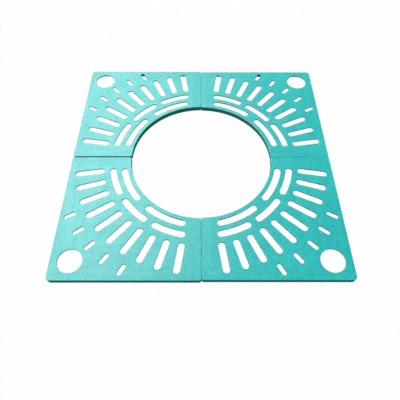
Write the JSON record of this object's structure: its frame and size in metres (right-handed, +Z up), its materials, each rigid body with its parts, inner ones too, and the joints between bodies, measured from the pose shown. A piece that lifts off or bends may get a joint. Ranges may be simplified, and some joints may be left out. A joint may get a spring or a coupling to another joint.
{
  "type": "tree grate",
  "caption": "Square composite tree grate of loose quarter panels with arc and ray slots round a circular trunk opening, and a round service hole near each outer corner.",
  "frame": {"origin": "centre of the trunk opening, at the ground that the rest pads stand on", "axes": "+Z up; +Y from the front seam to the rear seam; +X to the right seen from the front"},
  "size_m": [1.1986, 1.203, 0.025],
  "materials": {
    "panel": "turquoise moulded composite with soft streaks, satin to matt",
    "rods": "plain bright-drawn reinforcing rod, cast in",
    "pads": "black moulded rubber"
  },
  "bodies": {
    "rear_right_quarter": {"rear_right_panel": "panel", "rear_right_edge_rods": "rods", "rear_right_seam_rods": "rods", "rear_right_rim_rod": "rods", "rear_right_ring_rods": "rods", "rear_right_rib_rods": "rods", "rear_right_rest_pads": "pads"},
    "rear_left_quarter": {"rear_left_panel": "panel", "rear_left_edge_rods": "rods", "rear_left_seam_rods": "rods", "rear_left_rim_rod": "rods", "rear_left_ring_rods": "rods", "rear_left_rib_rods": "rods", "rear_left_rest_pads": "pads"},
    "front_left_quarter": {"front_left_panel": "panel", "front_left_edge_rods": "rods", "front_left_seam_rods": "rods", "front_left_rim_rod": "rods", "front_left_ring_rods": "rods", "front_left_rib_rods": "rods", "front_left_rest_pads": "pads"},
    "front_right_quarter": {"front_right_panel": "panel", "front_right_edge_rods": "rods", "front_right_seam_rods": "rods", "front_right_rim_rod": "rods", "front_right_ring_rods": "rods", "front_right_rib_rods": "rods", "front_right_rest_pads": "pads"}
  },
  "joints": [
    {"name": "rear_right_lift", "type": "slide", "parent": "rear_left_quarter", "child": "rear_right_quarter", "axis": [0, 0, 1], "range_m": [0, 0.06]},
    {"name": "front_left_lift", "type": "slide", "parent": "rear_left_quarter", "child": "front_left_quarter", "axis": [0, 0, 1], "range_m": [0, 0.06]},
    {"name": "front_right_lift", "type": "slide", "parent": "rear_left_quarter", "child": "front_right_quarter", "axis": [0, 0, 1], "range_m": [0, 0.06]}
  ]
}
